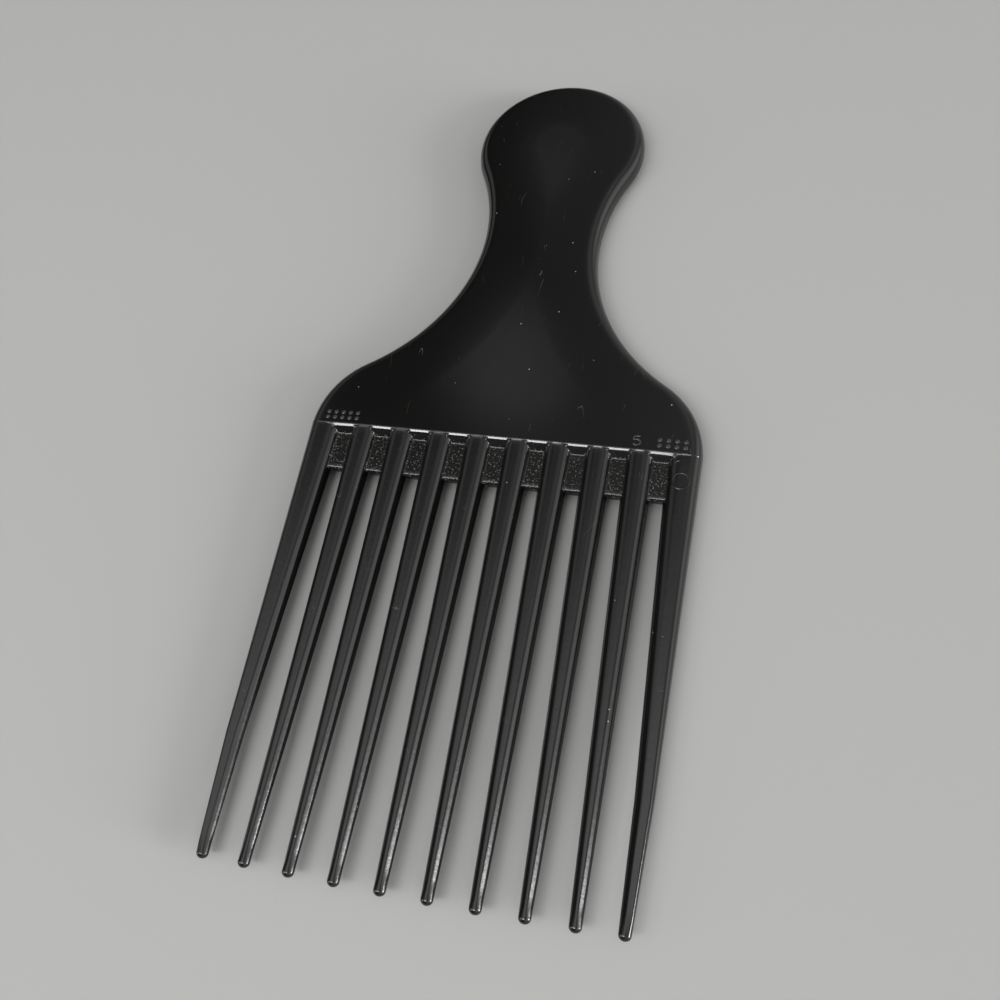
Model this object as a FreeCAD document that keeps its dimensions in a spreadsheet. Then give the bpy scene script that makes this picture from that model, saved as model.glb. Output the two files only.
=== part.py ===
import FreeCAD, Part
import math
import os
from enum import IntEnum
import Sketcher

# A flat styling pick moulded in one shot: a round knob, a waisted neck, a flared shoulder and
# a row of long tapered teeth joined at their roots by a thin recessed web. The moulding is split
# where its regions meet, into the handle, each tooth and each stretch of web, and every region
# seats face to face on its neighbours.
#
# Frame: X runs across the teeth, Y from the tooth tips to the knob and Z up through the thickness,
# with the pick lying on its back. The origin is under the middle of the whole length.

# Driving sizes in millimetres. Shares have no unit.
SIZES = {
    "handle_depth": 5.6,
    "knob_radius": 17.6,
    "neck_radius": 41.4,
    "neck_width": 23.8,
    "flare_radius": 38.3,
    "shoulder_radius": 17.4,
    "edge_round": 2.2,
    "land_width": 4.0,
    "tooth_count": 10,
    "tooth_length": 80.0,
    "tooth_depth": 5.0,
    "root_pitch": 7.43,
    "root_width": 5.5,
    "tip_pitch": 7.58,
    "tip_width": 2.0,
    "tip_depth": 1.8,
    "nose_length": 0.9,
    "root_flat_share": 0.48,
    "root_flank_share": 0.79,
    "root_flank_rise": 0.66,
    "tip_flat_share": 0.15,
    "tip_flank_share": 0.72,
    "tip_flank_rise": 0.37,
    "tip_round_share": 0.2,
    "soft_share": 0.22,
    "outer_root_width": 6.25,
    "outer_knee_width": 3.1,
    "outer_knee_pitch": 7.8,
    "outer_knee_height": 20.0,
    "outer_tip_pitch": 7.27,
    "tip_arc_drop": 0.45,
    "web_length": 8.8,
    "web_depth": 2.0,
    "web_edge_radius": 0.6,
    "ramp_length": 1.3,
    "rim_length": 0.45,
    "rim_drop": 0.08,
    "rim_radius": 0.6,
}

# Angles round a rounded edge or a tooth's nose at which a section is drawn.
EDGE_ANGLES = (0, 18, 36, 54, 72, 90)
NOSE_ANGLES = (0, 30, 60, 80)

# Share of the crown's rise that is reached halfway to its land.
CROWN_SHARE = 0.65


class Spot(IntEnum):
    """The place on a line or an arc that a constraint takes hold of."""

    START = 1
    END = 2
    CENTRE = 3


class Axis(IntEnum):
    """A sketch's own axes, as constraints name them. The origin is the start of either."""

    X = -1
    Y = -2


def inner_tooth_count():
    """Count the teeth between the two outer ones."""
    return "(sizes.tooth_count - 2)"


def half_width():
    """Half the width of the pick at the shoulder line: the teeth and the gaps between them."""
    inner = "%s / 2 * sizes.root_pitch" % inner_tooth_count()
    gap = "sizes.root_pitch / 2 - sizes.root_width / 2"
    return "(%s + %s + sizes.outer_root_width)" % (inner, gap)


def waist_rise():
    """Height of the neck's waist above the shoulder line, where flare meets shoulder corner."""
    across = "(sizes.neck_width / 2 + sizes.flare_radius - %s + sizes.shoulder_radius)" % half_width()
    return "sqrt((sizes.flare_radius + sizes.shoulder_radius) ^ 2 - %s ^ 2)" % across


def knob_rise():
    """Height of the knob's centre above the shoulder line, where neck arc meets knob."""
    across = "(sizes.neck_width / 2 + sizes.neck_radius)"
    climb = "sqrt((sizes.neck_radius + sizes.knob_radius) ^ 2 - %s ^ 2)" % across
    return "(%s + %s)" % (waist_rise(), climb)


def fill_sheet(doc):
    """Make the spreadsheet of driving sizes, one named cell each."""
    sheet = doc.addObject("Spreadsheet::Sheet", "sizes")
    for row, (alias, value) in enumerate(SIZES.items(), start=1):
        sheet.set("A%d" % row, alias)
        sheet.set("B%d" % row, str(value))
        sheet.setAlias("B%d" % row, alias)
    doc.recompute()
    return sheet


def new_body(doc, label, across="0"):
    """Make a body whose origin lies on the shoulder line, at mid-thickness."""
    body = doc.addObject("PartDesign::Body", label)
    body.Label = label
    handle_length = "(%s + sizes.knob_radius)" % knob_rise()
    body.setExpression("Placement.Base.x", across)
    body.setExpression("Placement.Base.y", "(sizes.tooth_length - %s) / 2" % handle_length)
    body.setExpression("Placement.Base.z", "sizes.handle_depth / 2")
    return body


def new_sketch(body, name, role, offset):
    """Attach a sketch to one of its body's origin planes, moved along the normal by offset."""
    sketch = body.newObject("Sketcher::SketchObject", name)
    plane = [item for item in body.Origin.OriginFeatures if item.Role == role][0]
    sketch.AttachmentSupport = [(plane, "")]
    sketch.MapMode = "FlatFace"
    sketch.setExpression("AttachmentOffset.Base.z", offset)
    return sketch


def bind(sketch, kind, geometry, point, formula):
    """Fix one coordinate of a point, or a radius, to a formula of the driving sizes."""
    value = float(sketch.evalExpression(formula))
    if kind == "Radius":
        constraint = Sketcher.Constraint(kind, geometry, value)
    else:
        constraint = Sketcher.Constraint(kind, Axis.X, Spot.START, geometry, point, value)
    index = sketch.addConstraint(constraint)
    sketch.setExpression("Constraints[%d]" % index, formula)


def draw_polygon(sketch, corners):
    """Draw a closed polygon whose corners are pairs of formulas."""
    spots = []
    for across, up in corners:
        x = float(sketch.evalExpression(across))
        y = float(sketch.evalExpression(up))
        spots.append(FreeCAD.Vector(x, y, 0))
    count = len(spots)
    for index in range(count):
        sketch.addGeometry(Part.LineSegment(spots[index], spots[(index + 1) % count]))
    for index in range(count):
        following = (index + 1) % count
        sketch.addConstraint(Sketcher.Constraint("Coincident", index, Spot.END, following, Spot.START))
    for index, (across, up) in enumerate(corners):
        bind(sketch, "DistanceX", index, Spot.START, across)
        bind(sketch, "DistanceY", index, Spot.START, up)


class Tooth:
    """The formulas that place and size one tooth of the row."""

    def __init__(self, number):
        self.label = "tooth_%02d" % number
        self.place = "(%d - (sizes.tooth_count + 1) / 2)" % number
        last = SIZES["tooth_count"]
        self.outer = number in (1, last)
        self.side = 1 if number > last / 2 else -1
        steps = abs(number - (last + 1) / 2) - 0.5
        self.share = steps / max(last / 2 - 1, 1)

    def next_inward(self, pitch):
        """Centre of the last inner tooth on this side, for a row with the given pitch."""
        return "(%s - 1) / 2 * %s" % (inner_tooth_count(), pitch)

    def root_centre(self):
        """Where the tooth stands on the shoulder line."""
        if self.outer:
            return "%d * (%s - sizes.outer_root_width / 2)" % (self.side, half_width())
        return "%s * sizes.root_pitch" % self.place

    def tip_centre(self):
        """Where the tooth ends, across the pick."""
        if self.outer:
            reach = "%s + sizes.outer_tip_pitch" % self.next_inward("sizes.tip_pitch")
            return "%d * (%s)" % (self.side, reach)
        return "%s * sizes.tip_pitch" % self.place

    def knee_centre(self):
        """Centre of an outer tooth where its gentle outward bow ends."""
        lean = "(sizes.tip_pitch - sizes.root_pitch) * sizes.outer_knee_height / sizes.tooth_length"
        reach = "%s + sizes.outer_knee_pitch" % self.next_inward("(sizes.tip_pitch - %s)" % lean)
        return "%d * (%s)" % (self.side, reach)

    def length(self):
        """Length from the shoulder line, shorter towards the ends of the row."""
        return "(sizes.tooth_length - sizes.tip_arc_drop * %.6f)" % self.share ** 2

    def root_width(self):
        """Width at the shoulder line."""
        return "sizes.outer_root_width" if self.outer else "sizes.root_width"


def between(root, tip, along):
    """A size that changes evenly down a tooth, with along from 0 at the root to 1 at the tip."""
    return "(%s + (%s - %s) * %s)" % (root, tip, root, along)


def toward(spot, other):
    """A point a soft_share of the way from one corner to the next, both pairs of formulas."""
    return tuple("(%s + sizes.soft_share * (%s - %s))" % (a, b, a) for a, b in zip(spot, other))


def facet_side(width, depth, side, along):
    """Corners down one side of a tooth's section: flat, chamfer, drafted flank and back.

    The flat narrows and the chamfer widens towards the tip. The corners between them are cut back
    a little on both sides, which softens them.
    """
    flat_share, flank_share, flank_rise = (
        between("sizes.root_" + name, "sizes.tip_" + name, along)
        for name in ("flat_share", "flank_share", "flank_rise")
    )
    face = "(%s / 2)" % depth
    middle = ("0", face)
    flat = ("(%d * %s * %s / 2)" % (side, flat_share, width), face)
    flank = ("(%d * %s * %s / 2)" % (side, flank_share, width), "(%s * %s / 2)" % (flank_rise, depth))
    edge = ("(%d * %s / 2)" % (side, width), "0")
    upper = [toward(flat, middle), toward(flat, flank), toward(flank, flat), toward(flank, edge)]
    lower = [(across, "-" + up) for across, up in reversed(upper)]
    return upper + [edge] + lower


def round_side(width, depth, side, along):
    """Corners down the outer side of an outer tooth, rounded like the handle's edge at its root."""
    round_share = between("sizes.edge_round / sizes.outer_root_width", "sizes.tip_round_share", along)
    upper = []
    for angle in reversed(EDGE_ANGLES):
        inset = "%s * %s * (1 - cos(%g deg))" % (round_share, width, angle)
        across = "%d * (%s / 2 - %s)" % (side, width, inset)
        upper.append((across, "%s / 2 * sin(%g deg)" % (depth, angle)))
    lower = [(across, "-" + up) for across, up in reversed(upper[:-1])]
    return upper + lower


def tooth_section(tooth, width, depth, shift, along):
    """Corners of one section of a tooth, with its middle moved sideways by shift."""
    right = round_side if tooth.outer and tooth.side > 0 else facet_side
    left = round_side if tooth.outer and tooth.side < 0 else facet_side
    corners = right(width, depth, 1, along) + left(width, depth, -1, along)[::-1]
    return [("%s + %s" % (shift, across), up) for across, up in corners]


def add_loft(body, sections, ruled):
    """Join sketches in order into one solid of the body."""
    loft = body.newObject("PartDesign::AdditiveLoft", body.Name + "_loft")
    loft.Profile = sections[0]
    loft.Sections = sections[1:]
    loft.Ruled = ruled
    return loft


def make_tooth(doc, tooth):
    """A tapered tooth: a faceted root section, a slimmer tip section and a blunt round nose."""
    body = new_body(doc, tooth.label, tooth.root_centre())
    stations = [(tooth.root_width(), "sizes.tooth_depth", "0", "0", "0")]
    if tooth.outer:
        down = "(%s - sizes.outer_knee_height)" % tooth.length()
        depth = "(sizes.tip_depth + (sizes.tooth_depth - sizes.tip_depth) * sizes.outer_knee_height"
        depth += " / %s)" % tooth.length()
        shift = "(%s - %s)" % (tooth.knee_centre(), tooth.root_centre())
        along = "(%s / %s)" % (down, tooth.length())
        stations.append(("sizes.outer_knee_width", depth, shift, down, along))
    shift = "(%s - %s)" % (tooth.tip_centre(), tooth.root_centre())
    for angle in NOSE_ANGLES:
        width = "(sizes.tip_width * cos(%g deg))" % angle
        depth = "(sizes.tip_depth * cos(%g deg))" % angle
        down = "%s - sizes.nose_length * (1 - sin(%g deg))" % (tooth.length(), angle)
        stations.append((width, depth, shift, down, "1"))
    sections = []
    for index, (width, depth, shift, down, along) in enumerate(stations):
        sketch = new_sketch(body, "%s_section_%d" % (tooth.label, index), "XZ_Plane", down)
        draw_polygon(sketch, tooth_section(tooth, width, depth, shift, along))
        sections.append(sketch)
    add_loft(body, sections, True)
    return body


def circle_arc(centre, radius, start, end):
    """An arc of a circle, counter-clockwise between two angles in radians."""
    circle = Part.Circle(FreeCAD.Vector(centre[0], centre[1], 0), FreeCAD.Vector(0, 0, 1), radius)
    return Part.ArcOfCircle(circle, start, end)


def draw_outline(sketch, inset):
    """Draw the handle's outline, moved inwards by inset but for the straight shoulder line.

    Each side is a shoulder corner, a long flare, a neck arc and half the knob, all tangent. The
    corner's centre lies on the shoulder line, and the flare and the neck arc meet at the waist.
    """
    half = "(%s - %s)" % (half_width(), inset)
    waist = "(sizes.neck_width / 2 - %s)" % inset
    corner = "(sizes.shoulder_radius - %s)" % inset
    flare = "(sizes.flare_radius + %s)" % inset
    neck = "(sizes.neck_radius + %s)" % inset
    knob = "(sizes.knob_radius - %s)" % inset

    def value(formula):
        return float(sketch.evalExpression(formula))

    low = value(waist_rise())
    high = value(knob_rise())
    corner_x = value(half) - value(corner)
    flare_x = value(waist) + value(flare)
    neck_x = value(waist) + value(neck)
    corner_turn = math.atan2(low, flare_x - corner_x)
    knob_turn = math.atan2(high - low, neck_x)
    turn = math.pi
    arcs = (
        circle_arc((corner_x, 0), value(corner), 0, corner_turn),
        circle_arc((flare_x, low), value(flare), turn, turn + corner_turn),
        circle_arc((neck_x, low), value(neck), turn - knob_turn, turn),
        circle_arc((0, high), value(knob), -knob_turn, turn / 2),
        circle_arc((0, high), value(knob), turn / 2, turn + knob_turn),
        circle_arc((-neck_x, low), value(neck), 0, knob_turn),
        circle_arc((-flare_x, low), value(flare), -corner_turn, 0),
        circle_arc((-corner_x, 0), value(corner), turn - corner_turn, turn),
    )
    ends = [FreeCAD.Vector(side * value(half), 0, 0) for side in (-1, 1)]
    line = sketch.addGeometry(Part.LineSegment(ends[0], ends[1]))
    r_corner, r_flare, r_neck, r_knob, l_knob, l_neck, l_flare, l_corner = [
        sketch.addGeometry(arc) for arc in arcs
    ]

    def tie(kind, *places):
        sketch.addConstraint(Sketcher.Constraint(kind, *places))

    for spot, side in ((Spot.START, "-"), (Spot.END, "")):
        bind(sketch, "DistanceX", line, spot, side + half)
        tie("PointOnObject", line, spot, Axis.X)
    tie("Coincident", line, Spot.END, r_corner, Spot.START)
    tie("Tangent", r_corner, Spot.END, r_flare, Spot.END)
    tie("Tangent", r_flare, Spot.START, r_neck, Spot.END)
    tie("Tangent", r_neck, Spot.START, r_knob, Spot.START)
    tie("Coincident", r_knob, Spot.END, l_knob, Spot.START)
    tie("Tangent", l_knob, Spot.END, l_neck, Spot.END)
    tie("Tangent", l_neck, Spot.START, l_flare, Spot.END)
    tie("Tangent", l_flare, Spot.START, l_corner, Spot.START)
    tie("Coincident", l_corner, Spot.END, line, Spot.START)
    for corner_arc in (r_corner, l_corner):
        tie("PointOnObject", corner_arc, Spot.CENTRE, Axis.X)
    for flare_arc, neck_arc, spot, side in (
        (r_flare, r_neck, Spot.START, ""), (l_flare, l_neck, Spot.END, "-"),
    ):
        tie("Horizontal", flare_arc, Spot.CENTRE, neck_arc, Spot.CENTRE)
        bind(sketch, "DistanceX", flare_arc, spot, side + waist)
        bind(sketch, "Radius", flare_arc, 0, flare)
        bind(sketch, "Radius", neck_arc, 0, neck)
    tie("PointOnObject", r_knob, Spot.CENTRE, Axis.Y)
    tie("PointOnObject", r_knob, Spot.END, Axis.Y)
    tie("Coincident", l_knob, Spot.CENTRE, r_knob, Spot.CENTRE)
    bind(sketch, "Radius", r_corner, 0, corner)
    bind(sketch, "Radius", r_knob, 0, knob)


def make_handle(doc):
    """Knob, neck and flared shoulder: a loft through outlines that shrink as they rise.

    The first outlines round the edge, and the last two crown the face up to its flat land. The
    loft is the upper half, down to the parting line, and its mirror image is the back.
    """
    body = new_body(doc, "handle")
    stations = []
    for angle in EDGE_ANGLES:
        inset = "(sizes.edge_round * (1 - cos(%g deg)))" % angle
        stations.append((inset, "sizes.tooth_depth / 2 * sin(%g deg)" % angle))
    land = "((sizes.neck_width - sizes.land_width) / 2)"
    crown = "(sizes.handle_depth - sizes.tooth_depth) / 2"
    halfway = "((sizes.edge_round + %s) / 2)" % land
    stations.append((halfway, "sizes.tooth_depth / 2 + %g * %s" % (CROWN_SHARE, crown)))
    stations.append((land, "sizes.handle_depth / 2"))
    sections = []
    for index, (inset, height) in enumerate(stations):
        sketch = new_sketch(body, "handle_outline_%d" % index, "XY_Plane", height)
        draw_outline(sketch, inset)
        sections.append(sketch)
    face = add_loft(body, sections, True)
    back = body.newObject("PartDesign::Mirrored", "handle_back")
    plane = [item for item in body.Origin.OriginFeatures if item.Role == "XY_Plane"][0]
    back.Originals = [face]
    back.MirrorPlane = (plane, [""])
    body.Tip = back
    return body


def cross_edges(shape, along):
    """Name the long edges of a web that run across it at one place along it, as a fillet asks."""
    names = []
    for index, edge in enumerate(shape.Edges, start=1):
        first, last = edge.Vertexes[0].Point, edge.Vertexes[-1].Point
        level = abs(first.z - last.z) < 1e-6 and abs(first.x - last.x) > 1e-6
        if level and max(abs(first.y - along), abs(last.y - along)) < 1e-6:
            names.append("Edge%d" % index)
    return names


def place(body, formula):
    """A distance along the pick from a body's origin, as a feature's shape has it."""
    return float(body.evalExpression(formula))


def make_web(doc, left, right, left_body, right_body):
    """The recessed web between two teeth, with a ramp up to a rounded rim at the shoulder line.

    A full-width blank is cut by both teeth, so that the web seats on their flanks.
    """
    label = "web_%s" % left.label[-2:]
    middle = "(%s + %s) / 2" % (left.root_centre(), right.root_centre())
    blank = new_body(doc, label + "_blank", middle)
    sketch = new_sketch(blank, label + "_profile", "YZ_Plane", "0")
    top = "sizes.tooth_depth / 2"
    rim = "(%s - sizes.rim_drop)" % top
    floor = "sizes.web_depth / 2"
    half_profile = [
        ("0", top), ("-sizes.rim_length", rim), ("-sizes.ramp_length", floor), ("-sizes.web_length", floor),
    ]
    corners = half_profile + [(along, "-" + up) for along, up in reversed(half_profile)]
    draw_polygon(sketch, corners)
    pad = blank.newObject("PartDesign::Pad", label + "_pad")
    pad.Profile = sketch
    pad.SideType = "Symmetric"
    pad.setExpression("Length", "%s - %s" % (right.root_centre(), left.root_centre()))
    doc.recompute()
    crest = blank.newObject("PartDesign::Fillet", label + "_crest")
    crest.Base = (pad, cross_edges(pad.Shape, place(blank, "-sizes.rim_length")))
    crest.setExpression("Radius", "sizes.rim_radius")
    doc.recompute()
    edge = blank.newObject("PartDesign::Fillet", label + "_edge")
    edge.Base = (crest, cross_edges(crest.Shape, place(blank, "-sizes.web_length")))
    edge.setExpression("Radius", "sizes.web_edge_radius")
    trimmed = doc.addObject("Part::Cut", label + "_trimmed")
    trimmed.Base = blank
    trimmed.Tool = left_body
    web = doc.addObject("Part::Cut", label)
    web.Label = label
    web.Base = trimmed
    web.Tool = right_body
    return web


def check(doc, parts):
    """Stop if any object failed or any sub-part isn't one valid solid."""
    for item in doc.Objects:
        if "Invalid" in item.State or "Error" in item.State:
            raise RuntimeError("%s failed: %s" % (item.Label, item.State))
        if item.TypeId == "Sketcher::SketchObject" and item.solve() != 0:
            raise RuntimeError("%s has clashing constraints" % item.Label)
    for part in parts:
        shape = part.Shape
        if shape.isNull() or not shape.isValid() or len(shape.Solids) != 1:
            raise RuntimeError("%s isn't one valid solid" % part.Label)


def main():
    doc = FreeCAD.newDocument("styling_pick")
    fill_sheet(doc)
    parts = [make_handle(doc)]
    teeth = [Tooth(number) for number in range(1, SIZES["tooth_count"] + 1)]
    bodies = [make_tooth(doc, tooth) for tooth in teeth]
    parts += bodies
    doc.recompute()
    for left, right, left_body, right_body in zip(teeth, teeth[1:], bodies, bodies[1:]):
        parts.append(make_web(doc, left, right, left_body, right_body))
    doc.recompute()
    check(doc, parts)
    os.makedirs("parts", exist_ok=True)
    for part in parts:
        part.Shape.exportStep("parts/%s.step" % part.Label)
        box = part.Shape.BoundBox
        print("%-10s %9.1f mm3  x %7.2f %7.2f  y %7.2f %7.2f  z %5.2f %5.2f" % (
            part.Label, part.Shape.Volume, box.XMin, box.XMax, box.YMin, box.YMax, box.ZMin, box.ZMax))


main()
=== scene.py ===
"""A one-piece hair pick in black moulded plastic, dressed and lit on a plain pale floor.

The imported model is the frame. Each of its nodes keeps its place and is stood for by a finer mesh: the
handle, ten tapered teeth and nine webs between their roots, and the small marks that moulding leaves
are added. Lengths in the classes are millimetres from the middle of the shoulder line, at
mid-thickness: x across the teeth, y from the shoulder line up to the knob, z through the thickness.
"""
import logging
import math
import random
from collections.abc import Iterable, Mapping, Sequence
from dataclasses import dataclass, field
from enum import Enum

import bmesh
import bpy
import numpy as np
from mathutils import Euler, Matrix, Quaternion, Vector


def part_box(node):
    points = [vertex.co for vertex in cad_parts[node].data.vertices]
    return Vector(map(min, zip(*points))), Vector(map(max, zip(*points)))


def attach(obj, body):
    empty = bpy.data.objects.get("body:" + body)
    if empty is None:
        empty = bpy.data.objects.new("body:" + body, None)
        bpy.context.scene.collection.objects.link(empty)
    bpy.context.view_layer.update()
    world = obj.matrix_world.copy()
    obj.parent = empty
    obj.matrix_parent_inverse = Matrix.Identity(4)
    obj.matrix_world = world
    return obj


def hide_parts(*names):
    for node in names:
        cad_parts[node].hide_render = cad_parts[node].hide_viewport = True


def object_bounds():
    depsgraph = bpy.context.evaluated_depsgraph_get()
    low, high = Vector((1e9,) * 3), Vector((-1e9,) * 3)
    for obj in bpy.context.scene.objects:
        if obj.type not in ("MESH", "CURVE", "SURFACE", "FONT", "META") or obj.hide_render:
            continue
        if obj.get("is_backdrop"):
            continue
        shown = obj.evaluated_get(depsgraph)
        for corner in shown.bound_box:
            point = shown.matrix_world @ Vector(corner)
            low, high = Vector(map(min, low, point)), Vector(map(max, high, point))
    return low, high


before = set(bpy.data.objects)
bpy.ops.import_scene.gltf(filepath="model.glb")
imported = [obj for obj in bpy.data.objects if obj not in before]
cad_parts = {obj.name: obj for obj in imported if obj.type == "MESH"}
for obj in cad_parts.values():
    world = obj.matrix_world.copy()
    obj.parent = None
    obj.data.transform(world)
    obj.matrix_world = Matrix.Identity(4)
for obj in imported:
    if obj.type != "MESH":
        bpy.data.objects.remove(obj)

MM = 0.001
BODY = "root"
SEED = 11

Point = tuple[float, float, float]
Spot = tuple[float, float]
# Distance below the shoulder line, centre across the pick, width, depth, and share of the length.
Station = tuple[float, float, float, float, float]
Row = list[bmesh.types.BMVert]

log = logging.getLogger("pick")


class Side(Enum):
    """The two flat sides of the pick."""

    FRONT = 1
    BACK = -1


class Hand(Enum):
    """The two edges of a tooth, as signs along x."""

    LEFT = -1
    RIGHT = 1


def smooth_min(first: np.ndarray, second: np.ndarray, blend: float) -> np.ndarray:
    """Blend two heights into their lower one.

    Args:
        first: One height, or several.
        second: The other.
        blend: Difference in height over which the corner is rounded.

    Returns:
        The lower height, rounded off where the two are close.
    """
    overlap = np.maximum(blend - np.abs(first - second), 0.0) / blend
    return np.minimum(first, second) - overlap * overlap * blend / 4


def smooth_max(first: np.ndarray, second: np.ndarray, blend: float) -> np.ndarray:
    """Blend two heights into their higher one, as smooth_min does for the lower."""
    return -smooth_min(-first, -second, blend)


def smooth_step(value: np.ndarray) -> np.ndarray:
    """Ease from 0 to 1 as value goes from 0 to 1."""
    share = np.clip(value, 0.0, 1.0)
    return share * share * (3 - 2 * share)


@dataclass(frozen=True)
class Datum:
    """Where the middle of the shoulder line lies in the frame, in metres."""

    shoulder: float
    middle: float

    @classmethod
    def from_frame(cls) -> "Datum":
        """Read the datum from the handle's box in the frame."""
        low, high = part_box("handle")
        return cls(low.y, (low.z + high.z) / 2)

    def place(self, point: Point) -> Vector:
        """Turn a point in millimetres from the datum into metres in the frame."""
        across, up, through = point
        return Vector((across * MM, up * MM + self.shoulder, through * MM + self.middle))


@dataclass(frozen=True)
class PickSizes:
    """Driving sizes of the moulding, in millimetres."""

    knob_radius: float = 17.6
    neck_radius: float = 41.4
    neck_width: float = 23.8
    flare_radius: float = 38.3
    shoulder_radius: float = 17.4
    tooth_count: int = 10
    tooth_length: float = 80.0
    tooth_depth: float = 5.0
    root_pitch: float = 7.43
    root_width: float = 5.5
    tip_pitch: float = 7.58
    tip_width: float = 2.0
    tip_depth: float = 1.8
    nose_length: float = 0.9
    outer_root_width: float = 6.25
    outer_knee_width: float = 3.1
    outer_knee_pitch: float = 7.8
    outer_knee_height: float = 20.0
    outer_tip_pitch: float = 7.27
    tip_arc_drop: float = 0.45
    edge_round: float = 2.2
    web_length: float = 8.8
    web_depth: float = 2.0
    web_edge: float = 0.6
    ramp_foot: float = 1.3

    @property
    def half_width(self) -> float:
        """Half the width at the shoulder line."""
        inner = (self.tooth_count - 2) / 2 * self.root_pitch
        return inner + (self.root_pitch - self.root_width) / 2 + self.outer_root_width

    @property
    def waist_rise(self) -> float:
        """Height of the neck's narrowest place above the shoulder line."""
        across = self.neck_width / 2 + self.flare_radius - self.half_width + self.shoulder_radius
        return math.sqrt((self.flare_radius + self.shoulder_radius) ** 2 - across ** 2)

    @property
    def knob_rise(self) -> float:
        """Height of the knob's centre above the shoulder line."""
        across = self.neck_width / 2 + self.neck_radius
        return self.waist_rise + math.sqrt((self.neck_radius + self.knob_radius) ** 2 - across ** 2)


class Skin:
    """Collects rows of points into one closed mesh."""

    def __init__(self, datum: Datum) -> None:
        """Start an empty mesh that takes points in millimetres from the datum."""
        self.datum = datum
        self.mesh = bmesh.new()

    def row(self, points: Iterable[Point]) -> Row:
        """Add one vertex for each point, and return them."""
        return [self.mesh.verts.new(self.datum.place(point)) for point in points]

    def bridge(self, first: Row, second: Row, closed: bool = False) -> None:
        """Join two rows of as many vertices with faces.

        Args:
            first: One row.
            second: The other row. Where the rows share a vertex, the face has three corners.
            closed: Whether each row's end joins its start.
        """
        count = len(first)
        for index in range(count if closed else count - 1):
            following = (index + 1) % count
            corners = (first[index], first[following], second[following], second[index])
            distinct = list(dict.fromkeys(corners))
            if len(distinct) > 2:
                self.mesh.faces.new(distinct)

    def cap(self, loop: Row) -> None:
        """Close a loop of vertices with one face."""
        self.mesh.faces.new(loop)

    def finish(self, name: str, material: bpy.types.Material, crease: float = 50.0) -> bpy.types.Object:
        """Make the object, smooth but for edges that turn by more than crease.

        Args:
            name: Name of the piece.
            material: Its finish.
            crease: Angle in degrees past which an edge stays sharp.

        Returns:
            The new object, linked to the scene.
        """
        bmesh.ops.recalc_face_normals(self.mesh, faces=self.mesh.faces)
        mesh = bpy.data.meshes.new(name)
        self.mesh.to_mesh(mesh)
        self.mesh.free()
        mesh.shade_smooth()
        mesh.set_sharp_from_angle(angle=math.radians(crease))
        mesh.materials.append(material)
        piece = bpy.data.objects.new(name, mesh)
        bpy.context.scene.collection.objects.link(piece)
        return piece


@dataclass(frozen=True)
class Bend:
    """One arc of the outline's right side, with its angles in radians from start to end."""

    centre: Spot
    radius: float
    shrink: int
    start: float
    end: float

    def spot(self, angle: float, inset: float) -> Spot:
        """A point at that angle on the arc moved inwards by inset."""
        radius = self.radius - self.shrink * inset
        return self.centre[0] + radius * math.cos(angle), self.centre[1] + radius * math.sin(angle)

    def sweep(self, steps: int, inset: float, start: float | None = None) -> list[Spot]:
        """Points along the arc, without its first one.

        Args:
            steps: How many points.
            inset: How far the arc is moved inwards.
            start: Angle to begin at, if not the arc's own.

        Returns:
            The points, in order.
        """
        first = self.start if start is None else start
        angles = (first + (self.end - first) * step / steps for step in range(1, steps + 1))
        return [self.spot(angle, inset) for angle in angles]


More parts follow.
